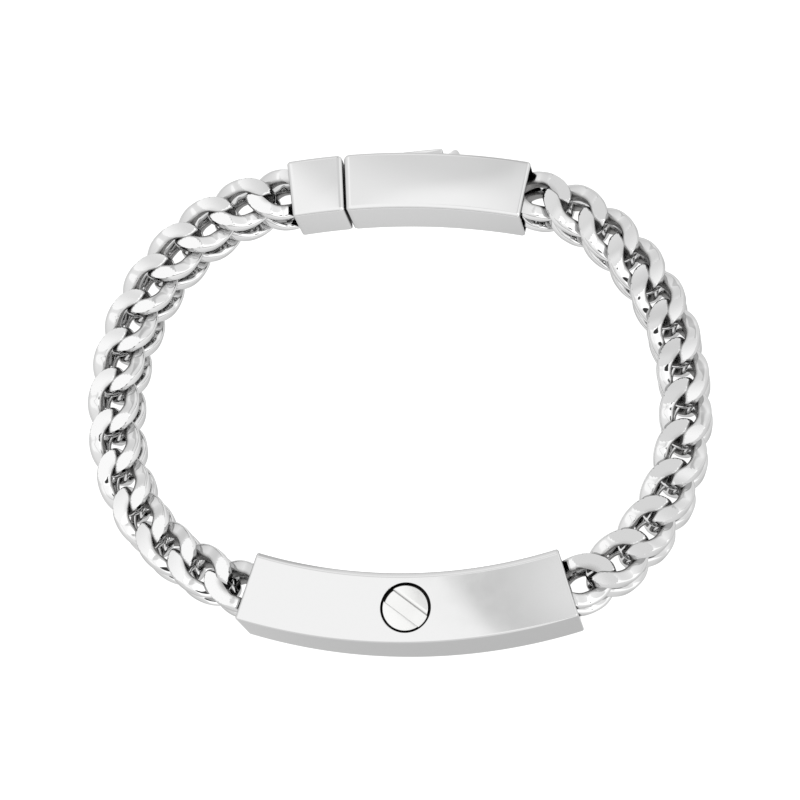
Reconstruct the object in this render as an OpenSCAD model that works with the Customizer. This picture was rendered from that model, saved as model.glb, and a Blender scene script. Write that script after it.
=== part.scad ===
// A polished steel bracelet lying on its side: a curved bar with a slotted screw, a block and
// box clasp with a flip lever, and two runs of a double-deck curb chain between them.
// Lengths are millimetres and angles are degrees. +Z is the wrist's axis and the table is Z = 0.

/* [Bar] */
// Length of the curved bar along its middle line
bar_length = 41.5; // [34:0.1:48]
// Radius of the bar's middle line
bar_radius = 69.4; // [50:1:90]
// Depth of the bar from its inner face to its outer face
bar_depth = 9; // [8:0.1:12]
// Height of the bar as it lies
bar_height = 10; // [9:0.1:13]
// Bevel of the bar's two outer edges
bar_edge = 0.25; // [0.1:0.05:0.6]
// Bevel of the bar's two inner edges
bar_inner_edge = 0.6; // [0.2:0.05:1]
// Distance from the loop's middle to the bar's middle line
bar_offset = 28.8; // [26:0.1:32]

/* [Screw] */
// Diameter of the screw's head
screw_head_d = 5.8; // [4:0.1:6.5]
// Gap round the head, which shows as a dark ring
screw_ring_gap = 0.3; // [0.2:0.05:0.6]
// Thickness of the head
screw_head_t = 1.3; // [0.8:0.1:2]
// Diameter of the shank under the head
screw_shank_d = 2.6; // [1.5:0.1:3.5]
// Length of the shank
screw_shank_l = 4; // [2:0.1:6]
// Width of the driver slot
screw_slot_w = 1.8; // [0.8:0.1:2.2]
// Depth of the driver slot
screw_slot_t = 0.7; // [0.3:0.05:0.8]
// Turn of the driver slot
screw_slot_turn = -38; // [-90:1:90]

/* [Clasp] */
// Radius of the clasp's middle line
clasp_radius = 92.9; // [70:1:110]
// Depth of the clasp from its inner face to its outer face
clasp_depth = 7.7; // [7:0.1:9]
// Height of the clasp as it lies
clasp_height = 8.2; // [8:0.1:10]
// Length of the small block along the middle line
block_length = 7.1; // [7:0.1:10]
// Length of the clasp's body along the middle line
body_length = 23.9; // [21:0.1:28]
// Gap that shows between the block and the body
clasp_gap = 0.25; // [0.15:0.05:0.6]
// Bevel of the clasp's long edges
clasp_edge = 0.35; // [0.1:0.05:0.5]
// Distance from the loop's middle to the clasp's middle line
clasp_offset = 28.7; // [26:0.1:32]
// Length of the block's tongue inside the body
tongue_length = 6; // [4:0.1:7]
// Depth of the tongue across the radius
tongue_depth = 2; // [1.5:0.1:2.2]
// Height of the tongue
tongue_height = 4.4; // [3:0.1:5.5]

/* [Lever] */
// Length of the flip lever from its pin to its tip
lever_length = 8.6; // [7:0.1:9.5]
// Height of the lever
lever_height = 6.2; // [5:0.1:6.4]
// Thickness of the lever's plate inside its recess
lever_t = 0.9; // [0.7:0.05:1.1]
// How far the lever's tip stands out of the clasp's outer face
lever_rise = 0.95; // [0.3:0.05:1]
// Diameter of the lever's hinge pin
lever_pin_d = 0.8; // [0.6:0.05:0.9]
// Where the pin lies, from the body's end at the gap
lever_pin_inset = 4.3; // [4:0.1:6]
// Length of the rounded stop just beyond the lever's tip
stop_length = 2.2; // [1:0.1:3]
// How far the stop stands out of the clasp's outer face
stop_rise = 0.85; // [0.2:0.05:0.9]

/* [Chain] */
// Number of links from the clasp's block to the bar
left_links = 14; // [14]
// Number of links from the clasp's body to the bar
right_links = 13; // [13]
// Outer length of a link
link_length = 9.4; // [9.3:0.1:9.8]
// Outer width of a link
link_width = 6.7; // [6.6:0.05:6.8]
// Width of the link's wire in the link's plane
wire_width = 1.65; // [1.5:0.05:1.7]
// Thickness of the link's wire across the link's plane
wire_t = 1.55; // [1.4:0.05:1.6]
// Twist of each end of a link out of its plane
link_twist = 62; // [58:1:64]
// Distance between the upper and the lower deck of links
deck_spacing = 4.4; // [4.2:0.05:4.5]
// Height of the chain between its two ground faces
chain_height = 7.4; // [7.2:0.05:8]

/* [Sockets] */
// Wall round the bar's two sockets, which take the end links
bar_wall = 1; // [0.8:0.05:1.2]
// Wall round the clasp's two sockets
clasp_wall = 0.45; // [0.3:0.05:0.5]
// Depth of the four sockets
socket_depth = 3.7; // [3.6:0.1:4]
// Diameter of the post in each socket
post_d = 0.8; // [0.6:0.05:0.9]
// Distance from a socket's mouth to its post
post_inset = 0.75; // [0.6:0.05:1]
// Height of the end links, which are ground lower to pass into the sockets
end_link_height = 6.8; // [6.4:0.05:6.9]

/* [Hidden] */
$fn = 64;
SIDES = ["left", "right"];

function two_digits(i) = str(i < 10 ? "0" : "", i);
function link_node(side, i) = str("link_", side, "_", two_digits(i));

// The steel's colour
steel = "silver";
// Overlap that keeps cuts open
eps = 0.01;
// Gap round hidden parts that fit in one another
fit_gap = 0.1;
// Gap beside the lever, and the room past its tip and under its plate
lever_side_gap = 0.15;
lever_room = 0.3;
// Wall of the lever's knuckle round its bore, and the play between the bore and the pin
knuckle_wall = 0.45;
pin_play = 0.06;
// How far the pin enters each side of the recess, and the gap round it there
pin_seat = 0.8;
pin_fit = 0.02;
// Steps along a rise, the share of the lever's length that slopes, the stop's lean, and how
// far the stop's ends lie under the face
RISE_STEPS = 12;
lever_ramp = 0.5;
stop_lean = 1.4;
rise_sink = 0.1;
// Turn of the bar and of the clasp about the loop's middle
bar_turn = -0.95;
clasp_turn = -2.7;
// How far the centre of each arc lies right of the loop's middle
bar_shift = 2.95;
clasp_shift = -2.55;
// Length over which the chain sinks from a socket to just over the table
settle_length = 24;
rest_gap = 0.01;
// Sides of the wire and segments of the loop
wire_sides = 6;
loop_segments = 16;
// How strongly the twist is kept to the link's ends
twist_power = 1.5;
// Slack between a post and the end of its link
post_slack = 0.5;

// The chain's way between its sockets, as points chosen along its middle line
ROUTE_LEFT = [
    [-19.6, 27.25], [-26.6, 23.35], [-32.4, 16.85], [-36.2, 8.15],
    [-37.3, -1.15], [-35.7, -10.35], [-31.0, -18.05], [-23.9, -23.15]
];
ROUTE_RIGHT = [
    [22.8, 24.95], [29.4, 19.35], [34.4, 11.65], [36.9, 3.15],
    [37.2, -5.15], [35.1, -13.55], [31.2, -19.95], [26.8, -24.05]
];

// Angles that lengths along a middle line take up
function arc_angle(length, radius) = length / radius * 180 / PI;
bar_angle = arc_angle(bar_length, bar_radius);
block_angle = arc_angle(block_length, clasp_radius);
body_angle = arc_angle(body_length, clasp_radius);
gap_angle = arc_angle(clasp_gap, clasp_radius);
clasp_angle = block_angle + gap_angle + body_angle;

// Places on the bar and on the clasp: each is an arc about its own centre. An angle of 0 is
// the middle of the arc, and angles grow anticlockwise as seen from above.
bar_centre = [bar_shift, bar_radius - bar_offset];
clasp_centre = [clasp_shift, clasp_offset - clasp_radius];
function on_circle(centre, radius, angle) = centre + radius * [cos(angle), sin(angle)];
function bar_polar(angle) = -90 + bar_turn + angle;
function clasp_polar(angle) = 90 + clasp_turn + angle;
block_start = clasp_angle / 2 - block_angle;
body_start = -clasp_angle / 2;
body_end = body_start + body_angle;

// A post's place, at its inset from the mouth of its socket
bar_post_angle = bar_angle / 2 - arc_angle(post_inset, bar_radius);
clasp_post_angle = clasp_angle / 2 - arc_angle(post_inset, clasp_radius);
function bar_post(sign) = on_circle(bar_centre, bar_radius, bar_polar(sign * bar_post_angle));
function clasp_post(sign) =
    on_circle(clasp_centre, clasp_radius, clasp_polar(sign * clasp_post_angle));

// Link sizes along the wire's centre line
loop_half_length = (link_length - wire_width) / 2;
loop_half_width = (link_width - wire_width) / 2;
link_reach = loop_half_length - wire_width / 2 - post_d / 2 - post_slack;

// A smooth path through points: a Catmull-Rom curve sampled at even steps
PATH_STEPS = 10;
function catmull(p, t) =
    0.5 * (2 * p[1] + (p[2] - p[0]) * t
        + (2 * p[0] - 5 * p[1] + 4 * p[2] - p[3]) * t * t
        + (3 * p[1] - p[0] - 3 * p[2] + p[3]) * t * t * t);
function smooth_path(points) = [
    for (i = [0:len(points) - 2], k = [0:PATH_STEPS - 1])
        catmull([
            i == 0 ? 2 * points[0] - points[1] : points[i - 1],
            points[i],
            points[i + 1],
            i == len(points) - 2 ? 2 * points[i + 1] - points[i] : points[i + 2]
        ], k / PATH_STEPS),
    points[len(points) - 1]
];
function running_length(path, i = 0, sum = 0) =
    i >= len(path) ? [] :
    let (here = i == 0 ? 0 : sum + norm(path[i] - path[i - 1]))
    concat([here], running_length(path, i + 1, here));

PATHS = [
    smooth_path(concat([clasp_post(1)], ROUTE_LEFT, [bar_post(-1)])),
    smooth_path(concat([clasp_post(-1)], ROUTE_RIGHT, [bar_post(1)]))
];
LENGTHS = [for (path = PATHS) running_length(path)];
COUNTS = [left_links, right_links];

function total_length(side) = LENGTHS[side][len(LENGTHS[side]) - 1];
function path_axis(side, s, axis) =
    lookup(s, [for (i = [0:len(PATHS[side]) - 1]) [LENGTHS[side][i], PATHS[side][i][axis]]]);

// The chain lies on the table and climbs to the middle of the bar and of the clasp
function ease(x) = let (c = min(max(x, 0), 1)) c * c * (3 - 2 * c);
function path_height(side, s) =
    chain_height / 2 + rest_gap
    + (clasp_height - chain_height) / 2 * (1 - ease(s / settle_length))
    + (bar_height - chain_height) / 2 * (1 - ease((total_length(side) - s) / settle_length));
function path_point(side, s) =
    [path_axis(side, s, 0), path_axis(side, s, 1), path_height(side, s)];

function link_place(side, i) =
    let (step = (total_length(side) - 2 * link_reach) / (COUNTS[side] - 1))
    link_reach + (i - 1) * step;

// A bar of chamfered section bent round an arc. The profile runs from the inner radius out.
module bent_bar(radius, depth, height, inner_edge, outer_edge, start, angle) {
    inner = radius - depth / 2;
    outer = radius + depth / 2;
    rotate([0, 0, start])
        rotate_extrude(angle = angle)
            polygon([
                [inner + inner_edge, 0], [outer - outer_edge, 0], [outer, outer_edge],
                [outer, height - outer_edge], [outer - outer_edge, height],
                [inner + inner_edge, height], [inner, height - inner_edge],
                [inner, inner_edge]
            ]);
}

// A plain box section bent round an arc, from one radius to another
module bent_box(inner, outer, low, high, start, angle) {
    rotate([0, 0, start])
        rotate_extrude(angle = angle)
            translate([inner, low])
                square([outer - inner, high - low]);
}

// The hollow for an end link, with the mouth at one end of the arc. A sign of 1 opens it
// anticlockwise and -1 opens it clockwise.
module socket(radius, depth, height, wall, mouth, sign) {
    span = arc_angle(socket_depth + eps, radius);
    start = sign > 0 ? mouth - span + arc_angle(eps, radius) : mouth - arc_angle(eps, radius);
    bent_box(
        radius - depth / 2 + wall, radius + depth / 2 - wall, wall, height - wall, start, span
    );
}

// The post that an end link hangs on, from the socket's floor to its roof
module post(place, height, wall) {
    translate([place[0], place[1], wall / 2])
        cylinder(d = post_d, h = height - wall);
}

// The curved bar with its two sockets, their posts and the screw's counterbore
module id_bar() {
    screw_place = on_circle(bar_centre, bar_radius, bar_polar(0));
    color(steel) {
        difference() {
            translate(bar_centre)
                bent_bar(
                    bar_radius, bar_depth, bar_height, bar_inner_edge, bar_edge,
                    bar_polar(-bar_angle / 2), bar_angle
                );
            translate(bar_centre) {
                for (sign = [-1, 1])
                    socket(
                        bar_radius, bar_depth, bar_height, bar_wall,
                        bar_polar(sign * bar_angle / 2), sign
                    );
            }
            translate([screw_place[0], screw_place[1], bar_height - screw_head_t])
                cylinder(d = screw_head_d + 2 * screw_ring_gap, h = screw_head_t + eps);
            translate([screw_place[0], screw_place[1], bar_height - screw_head_t])
                translate([0, 0, -screw_shank_l - fit_gap])
                    cylinder(d = screw_shank_d + 2 * fit_gap, h = screw_shank_l + 2 * fit_gap);
        }
        for (sign = [-1, 1]) post(bar_post(sign), bar_height, bar_wall);
    }
}

// The round screw with its wide driver slot, seated in the bar's counterbore
module bar_screw() {
    screw_place = on_circle(bar_centre, bar_radius, bar_polar(0));
    seat = bar_height - screw_head_t + fit_gap / 2;
    color(steel)
        translate([screw_place[0], screw_place[1], seat])
            difference() {
                union() {
                    cylinder(d = screw_head_d, h = screw_head_t - fit_gap / 2);
                    translate([0, 0, -screw_shank_l])
                        cylinder(d = screw_shank_d, h = screw_shank_l + eps);
                }
                rotate([0, 0, screw_slot_turn])
                    translate([0, 0, screw_head_t - fit_gap / 2 - screw_slot_t / 2 + eps / 2])
                        cube([screw_head_d + 1, screw_slot_w, screw_slot_t + eps], center = true);
            }
}

// The tongue, or with a gap the room for it, from the block's end into the body
module tongue(gap) {
    bent_box(
        clasp_radius - tongue_depth / 2 - gap, clasp_radius + tongue_depth / 2 + gap,
        (clasp_height - tongue_height) / 2 - gap, (clasp_height + tongue_height) / 2 + gap,
        clasp_polar(body_end - arc_angle(tongue_length + gap, clasp_radius)),
        arc_angle(tongue_length + gap + clasp_gap + eps, clasp_radius)
    );
}

// The small block at the left of the clasp: a socket for the chain and a tongue for the body
module clasp_block() {
    color(steel) {
        difference() {
            translate(clasp_centre)
                bent_bar(
                    clasp_radius, clasp_depth, clasp_height, clasp_edge, clasp_edge,
                    clasp_polar(block_start), block_angle
                );
            translate(clasp_centre)
                socket(
                    clasp_radius, clasp_depth, clasp_height, clasp_wall,
                    clasp_polar(clasp_angle / 2), 1
                );
        }
        post(clasp_post(1), clasp_height, clasp_wall);
        translate(clasp_centre) tongue(0);
    }
}

// Where the lever lies on the body. Angles run clockwise from the body's end at the gap.
lever_outer = clasp_radius + clasp_depth / 2;
lever_pin_angle = body_end - arc_angle(lever_pin_inset, lever_outer);
lever_tip_angle = lever_pin_angle - arc_angle(lever_length, lever_outer);
lever_knuckle_r = lever_pin_d / 2 + knuckle_wall;
lever_pin_place =
    on_circle(clasp_centre, lever_outer - lever_knuckle_r, clasp_polar(lever_pin_angle));
lever_low = (clasp_height - lever_height) / 2;

// A point on a rise over the clasp's outer face, at a share of the way between two angles
function face_point(from, to, share, out) =
    on_circle(clasp_centre, lever_outer + out, clasp_polar(from + (to - from) * share));

// A rise over the outer face: the outline follows the face back at a depth under it
module face_rise(from, to, depth, heights) {
    last = len(heights) - 1;
    translate([0, 0, lever_low])
        linear_extrude(lever_height)
            polygon(concat(
                [for (k = [0:last]) face_point(from, to, k / last, -depth)],
                [for (k = [last:-1:0]) face_point(from, to, k / last, heights[k])]
            ));
}

// The recess for the lever in the body's outer face, with a round bed for its knuckle that is
// a little taller than the recess
module lever_recess() {
    bed = lever_knuckle_r + lever_room;
    span = lever_length + 2 * lever_room + bed;
    translate(clasp_centre)
        bent_box(
            lever_outer - lever_t - lever_room, lever_outer + eps,
            lever_low - lever_side_gap, lever_low + lever_height + lever_side_gap,
            clasp_polar(lever_tip_angle - arc_angle(lever_room, lever_outer)),
            arc_angle(span, lever_outer)
        );
    bed_gap = lever_side_gap + fit_gap;
    translate([lever_pin_place[0], lever_pin_place[1], lever_low - bed_gap])
        cylinder(r = bed, h = lever_height + 2 * bed_gap);
}

// The stop's height over the face at a share of its length. Its two ends sink into the face.
function stop_height(share) =
    (stop_rise + rise_sink) * sin(180 * pow(share, stop_lean)) - rise_sink;

// The clasp's body: a socket for the chain, the tongue's slot, the lever's recess and the stop
module clasp_body() {
    stop_near = lever_tip_angle - arc_angle(lever_room + rise_sink, lever_outer);
    stop_far = stop_near - arc_angle(stop_length, lever_outer);
    color(steel) {
        difference() {
            translate(clasp_centre)
                bent_bar(
                    clasp_radius, clasp_depth, clasp_height, clasp_edge, clasp_edge,
                    clasp_polar(body_start), body_angle
                );
            translate(clasp_centre) {
                socket(
                    clasp_radius, clasp_depth, clasp_height, clasp_wall,
                    clasp_polar(body_start), -1
                );
                tongue(fit_gap);
            }
            lever_recess();
            translate([lever_pin_place[0], lever_pin_place[1], lever_low - pin_seat])
                cylinder(d = lever_pin_d + 2 * pin_fit, h = lever_height + 2 * pin_seat);
        }
        post(clasp_post(-1), clasp_height, clasp_wall);
        face_rise(
            stop_near, stop_far, lever_t,
            [for (k = [0:RISE_STEPS]) stop_height(k / RISE_STEPS)]
        );
    }
}

// The flip lever: a knuckle on the pin and a plate that thickens towards its lifted tip
module clasp_lever() {
    color(steel)
        difference() {
            union() {
                translate([lever_pin_place[0], lever_pin_place[1], lever_low])
                    cylinder(r = lever_knuckle_r, h = lever_height);
                face_rise(
                    lever_pin_angle, lever_tip_angle, lever_t,
                    [for (k = [0:RISE_STEPS]) lever_rise * ease(k / RISE_STEPS / lever_ramp)]
                );
            }
            translate([lever_pin_place[0], lever_pin_place[1], lever_low - eps])
                cylinder(d = lever_pin_d + 2 * pin_play, h = lever_height + 2 * eps);
        }
}

// The lever's hinge pin, seated in the two sides of the recess
module lever_pin() {
    reach = pin_seat - pin_fit;
    color(steel)
        translate([lever_pin_place[0], lever_pin_place[1], lever_low - reach])
            cylinder(d = lever_pin_d, h = lever_height + 2 * reach);
}

// A point on the wire's centre line: an ellipse twisted about its long axis, so that its two
// ends turn out of its plane in opposite ways
function twist_at(x) =
    let (share = x / loop_half_length)
    link_twist * sign(share) * pow(abs(share), twist_power);
function loop_point(u) =
    let (x = loop_half_length * cos(u), y = loop_half_width * sin(u), turn = twist_at(x))
    [x, y * cos(turn), y * sin(turn)];

// The ring of wire round that point, with one axis across the link's plane
function unit(v) = v / norm(v);
function wire_ring(u, deck, half_height) =
    let (
        here = loop_point(u),
        along = unit(loop_point(u + 1) - loop_point(u - 1)),
        turn = twist_at(here[0]),
        across = [0, -sin(turn), cos(turn)],
        normal = unit(across - (across * along) * along),
        side = cross(along, normal)
    )
    [for (j = [0:wire_sides - 1])
        let (
            v = j * 360 / wire_sides,
            p = here + side * cos(v) * wire_width / 2 + normal * sin(v) * wire_t / 2,
            z = p[2] + deck * deck_spacing / 2
        )
        [p[0], p[1], min(max(z, -half_height), half_height)]
    ];

// One closed loop of wire on the upper (1) or the lower (-1) deck
module wire_loop(deck, half_height) {
    points = [
        for (i = [0:loop_segments - 1])
            each wire_ring(i * 360 / loop_segments, deck, half_height)
    ];
    function at(i, j) = (i % loop_segments) * wire_sides + j % wire_sides;
    faces = [
        for (i = [0:loop_segments - 1], j = [0:wire_sides - 1])
            each [
                [at(i, j), at(i + 1, j + 1), at(i + 1, j)],
                [at(i, j), at(i, j + 1), at(i + 1, j + 1)]
            ]
    ];
    polyhedron(points = points, faces = faces, convexity = 6);
}

// One link: two twisted loops, one above the other, laid along the chain's way
module chain_link(side, i) {
    s = link_place(side, i);
    back = path_point(side, s - link_reach);
    front = path_point(side, s + link_reach);
    way = front - back;
    at_socket = i == 1 || i == COUNTS[side];
    half_height = (at_socket ? end_link_height : chain_height) / 2;
    color(steel)
        translate((back + front) / 2)
            rotate([0, 0, atan2(way[1], way[0])])
                rotate([0, -atan2(way[2], norm([way[0], way[1]])), 0])
                    for (deck = [-1, 1]) wire_loop(deck, half_height);
}

id_bar();
bar_screw();
clasp_block();
clasp_body();
clasp_lever();
lever_pin();
for (side = [0, 1], i = [1:COUNTS[side]])
    chain_link(side, i);
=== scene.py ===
"""A polished steel id bracelet lying on its side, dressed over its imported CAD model."""
import math
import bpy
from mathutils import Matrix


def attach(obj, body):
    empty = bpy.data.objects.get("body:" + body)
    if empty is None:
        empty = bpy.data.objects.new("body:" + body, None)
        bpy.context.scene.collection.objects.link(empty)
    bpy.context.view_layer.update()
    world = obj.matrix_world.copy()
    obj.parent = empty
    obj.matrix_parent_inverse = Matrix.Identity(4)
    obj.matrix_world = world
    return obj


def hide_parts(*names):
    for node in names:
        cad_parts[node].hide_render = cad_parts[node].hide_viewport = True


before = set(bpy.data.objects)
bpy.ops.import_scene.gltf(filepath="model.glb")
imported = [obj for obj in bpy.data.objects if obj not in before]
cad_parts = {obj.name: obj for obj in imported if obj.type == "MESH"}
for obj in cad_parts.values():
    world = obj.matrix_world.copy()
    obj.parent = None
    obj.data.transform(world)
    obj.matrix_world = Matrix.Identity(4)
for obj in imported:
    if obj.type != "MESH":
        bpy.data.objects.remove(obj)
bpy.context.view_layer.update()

from types import SimpleNamespace

import bmesh
import bpy
import numpy as np
from bpy.props import FloatProperty, FloatVectorProperty, PointerProperty
from mathutils import Matrix, Vector

bl_info = {
    "name": "Id Bracelet",
    "version": (1, 0, 0),
    "blender": (4, 5, 0),
    "location": "View3D > Sidebar > Bracelet",
    "description": "Builds a polished steel id bracelet with a curb chain and a box clasp",
    "category": "Add Mesh",
}

# Lengths in the shape functions are millimetres, and Blender's are metres
MM = 0.001
# Points closer than this, in metres, are one point
MERGE = 4e-7
# Edges that bend by more degrees than this stay crisp
CRISP_ANGLE = 32.0

# Sizes that the bracelet shares with its CAD model, in mm and degrees

BAR = SimpleNamespace(
    length=41.5, radius=69.4, depth=9.0, height=10.0,
    centre=(2.95, 69.4 - 28.8), middle=-90.0 - 0.95, wall=1.0,
)
SCREW = SimpleNamespace(
    radius=2.9, ring=0.3, head=1.3, shank=1.3, shank_length=4.0,
    slot=1.8, slot_depth=0.7, turn=-38.0, seat=0.05, play=(-0.04, -0.05),
    worn_side=3.0,
)
CLASP = SimpleNamespace(
    radius=92.9, depth=7.7, height=8.2, block=7.1, body=23.9, gap=0.25,
    centre=(-2.55, 28.7 - 92.9), middle=90.0 - 2.7, wall=0.45,
    tongue=6.0, tongue_depth=2.0, tongue_height=4.4,
)
LEVER = SimpleNamespace(
    length=8.6, height=6.2, thickness=0.9, rise=0.95, inset=4.3, knuckle=0.85,
    stop=2.2, stop_rise=0.85, side_gap=0.15, room=0.3, sink=0.1,
    lean=1.4, rise_power=1.2, tip_radius=0.18, knuckle_reach=0.8,
)
for arc, length in ((BAR, BAR.length), (CLASP, CLASP.block + CLASP.gap + CLASP.body)):
    # degrees on the arc for a mm, and from its middle to either end
    arc.per_mm = math.degrees(1.0 / arc.radius)
    arc.half = length / 2 * arc.per_mm
SOCKET = SimpleNamespace(depth=3.7, post=0.4, inset=0.75, slack=0.5, mouth=0.08, corner=0.35)
CHAIN = SimpleNamespace(
    length=9.4, width=6.7, wire=1.65, twist=62.0, power=1.5,
    deck=4.4, height=7.4, end_height=6.8, settle=24.0, rest=0.01,
)
COUNTS = {"left": 14, "right": 13}
# The chain's way between its sockets
ROUTES = {
    "left": [
        (-19.6, 27.25), (-26.6, 23.35), (-32.4, 16.85), (-36.2, 8.15),
        (-37.3, -1.15), (-35.7, -10.35), (-31.0, -18.05), (-23.9, -23.15),
    ],
    "right": [
        (22.8, 24.95), (29.4, 19.35), (34.4, 11.65), (36.9, 3.15),
        (37.2, -5.15), (35.1, -13.55), (31.2, -19.95), (26.8, -24.05),
    ],
}
PATH_STEPS = 10
# Painted shade, darker steel standing in for the shade in hollows, gaps and the wire's inner sides,
# by where it lies: how far before the way in it starts and how long it grows, in mm, and on the
# wire in shares of its loop's ellipse
PAINTED_SHADE_STEPS = {
    "hollow": (0.1, 0.9), "bore": (-0.03, 0.25), "rim": (0.12, 0.1), "head": (0.02, 0.3),
    "gap": (0.15, 0.1), "floor": (0.0, 0.6), "wire": (0.95, 0.25),
}
# The gap's largest share of painted shade, then in mm a hollow's deepest place and how near to a
# wall counts as on it
GAP_SHARE = 0.8
DEEPEST = 7.0
TOUCH = 0.02


# Mesh building

def grid_quads(rows, columns, wrap=True):
    """Quads over a grid of points: each joins a point to the next column and the next row."""
    row = np.arange(rows - 1)[:, None]
    column = np.arange(columns if wrap else columns - 1)[None]
    here = row * columns + column
    beside = row * columns + (column + 1) % columns
    return np.stack([here, beside, beside + columns, here + columns], -1).reshape(-1, 4)


def read(items, key, kind, width=1):
    """One property of all the items, as an array."""
    values = np.empty(len(items) * width, kind)
    items.foreach_get(key, values)
    return values


def mark_borders(mesh, flat):
    """Sharpens the edges between the faces whose points are all flat and their neighbours."""
    corners = read(mesh.loops, "vertex_index", np.int32)
    starts = read(mesh.polygons, "loop_start", np.int32)
    totals = read(mesh.polygons, "loop_total", np.int32)
    faces = np.minimum.reduceat(flat[corners].astype(float), starts)
    sides = read(mesh.loops, "edge_index", np.int32)
    count = np.bincount(sides, np.repeat(faces, totals), len(mesh.edges))
    sharp = read(mesh.edges, "use_edge_sharp", bool)
    mesh.edges.foreach_set("use_edge_sharp", sharp | (count == 1))


def make_piece(name, sheets, material, body, nodes, painted_shade=None, ground=None):
    """One object from sheets of (points, quads), with its doubles merged and faces outwards.

    Its painted shade function gives each point's share of painted shade, darker steel put where
    shade falls in hollows and gaps, from 0 to 1, which the steel reads, and ground says which
    points lie on a ground face, whose border stays a crisp edge.
    """
    points = [np.asarray(sheet[0], float).reshape(-1, 3) for sheet in sheets]
    starts = np.cumsum([0] + [len(p) for p in points[:-1]])
    quads = np.concatenate([sheet[1] + start for sheet, start in zip(sheets, starts)])
    mesh = bpy.data.meshes.new(name)
    mesh.from_pydata((np.concatenate(points) * MM).tolist(), [], quads.tolist())
    edit = bmesh.new()
    edit.from_mesh(mesh)
    bmesh.ops.remove_doubles(edit, verts=edit.verts, dist=MERGE)
    bmesh.ops.dissolve_degenerate(edit, dist=MERGE, edges=edit.edges)
    bmesh.ops.recalc_face_normals(edit, faces=edit.faces)
    edit.to_mesh(mesh)
    edit.free()
    mesh.shade_smooth()
    mesh.set_sharp_from_angle(angle=math.radians(CRISP_ANGLE))
    places = read(mesh.vertices, "co", float, 3).reshape(-1, 3) / MM
    # painted shade: each point's share of darker steel where shade falls, kept as a point attribute
    # that the steel reads
    shares = np.zeros(len(places)) if painted_shade is None else painted_shade(places)
    mesh.attributes.new("painted_shade", "FLOAT", "POINT").data.foreach_set("value", shares)
    if ground is not None:
        mark_borders(mesh, ground(places))
    mesh.materials.append(material)
    piece = bpy.data.objects.new(name, mesh)
    bpy.context.scene.collection.objects.link(piece)
    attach(piece, body)
    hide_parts(*nodes)
    return piece


def unit(vectors):
    """The vectors at length 1."""
    return vectors / np.linalg.norm(vectors, axis=-1, keepdims=True)


def ease(x):
    """A smooth step from 0 to 1."""
    c = np.clip(x, 0, 1)
    return c * c * (3 - 2 * c)


def painted_shade_share(where, inward):
    """The share of painted shade this far in: a smooth step over the table's stretch."""
    before, growth = PAINTED_SHADE_STEPS[where]
    return ease((inward + before) / growth)


# Bent bars

CORNER_STEPS = 9
EDGE_STEPS = 7
POST_SIDES = 24
# A line this far inside an edge holds a flat face flat, as a share of its side or in mm
HOLD = 0.012
# Points along a plain side, as shares of it
PLAIN_SIDE = np.array([HOLD, 0.25, 0.5, 0.75, 1 - HOLD])
# The tightest corner of an outline, in mm
LEAST_RADIUS = 0.03
# Depths of the rows inside a socket, in mm
SOCKET_ROWS = (0.3, 0.8, 1.6)


def outline(box, corners, shares, inset=(0.0, 0.0, 0.0, 0.0)):
    """A closed outline in (depth, height): a rectangle whose corners are quarters of ovals.

    box is (inner, outer, low, high) and inset draws those four sides in. corners are the four
    ovals' (depth, height) radii from outer-low anticlockwise, and shares the places of the
    points along each straight side, from 0 to 1.
    """
    inner, outer = box[0] + inset[0], box[1] - inset[1]
    low, high = box[2] + inset[2], box[3] - inset[3]
    places = [(outer, low), (outer, high), (inner, high), (inner, low)]
    signs = [(-1, 1), (-1, -1), (1, -1), (1, 1)]
    least = min(inset)
    arcs = []
    for k in range(4):
        radii = np.maximum(np.array(corners[k]) - least, LEAST_RADIUS)
        middle = np.array(places[k]) + radii * np.array(signs[k])
        turn = np.radians(np.linspace(-90, 0, CORNER_STEPS) + 90 * k)
        arcs.append(middle + radii * np.stack([np.cos(turn), np.sin(turn)], -1))
    parts = []
    for k in range(4):
        start, end = arcs[k][-1], arcs[(k + 1) % 4][0]
        share = np.asarray(shares[k])[:, None]
        parts += [arcs[k], start + (end - start) * share]
    return np.concatenate(parts)


def bend(points, form, angle):
    """Places (depth, height) points on the form's arc, at an angle from the arc's middle."""
    turn = math.radians(form.middle + angle)
    reach = form.radius + points[..., 0]
    x = form.centre[0] + reach * math.cos(turn)
    y = form.centre[1] + reach * math.sin(turn)
    return np.stack([x, y, points[..., 1]], -1)


def end_loops(box, corners, shares, edge, inner, reach):
    """Outlines from a bar's side round its end's edge, then into a socket or out along a tongue.

    Each is (distance past the end's plane, outline). edge holds how far the edge draws in the
    four sides, and the largest of them is how far it starts before the end. The edge is a
    quarter oval: the outline shrinks by 1 - cos while its distance grows by sin. A reach below
    0 sinks the inner outline into a socket, and one above 0 carries it out as a tongue.
    """
    quarter = np.radians(np.linspace(0, 90, EDGE_STEPS))
    small = [(SOCKET.corner, SOCKET.corner)] * 4
    mouth = SOCKET.mouth
    edge = np.array(edge)
    loops = [
        (-edge.max() * (1 - math.sin(t)), outline(box, corners, shares, edge * (1 - math.cos(t))))
        for t in quarter
    ]
    loops.append((0.0, outline(box, corners, shares, edge + HOLD)))
    rows = [(0.0, 0.0)]
    if reach < 0:
        rows = [(0.0, -mouth - HOLD)]
        rows += [(-mouth * (1 - math.cos(t)), -mouth * (1 - math.sin(t))) for t in quarter]
        rows += [(-depth, 0.0) for depth in SOCKET_ROWS]
    rows.append((reach, 0.0))
    loops += [(past, outline(inner, small, shares, np.full(4, inset))) for past, inset in rows]
    middle = np.array([(inner[0] + inner[1]) / 2, (inner[2] + inner[3]) / 2])
    loops.append((reach, np.broadcast_to(middle, loops[-1][1].shape)))
    return loops


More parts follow.
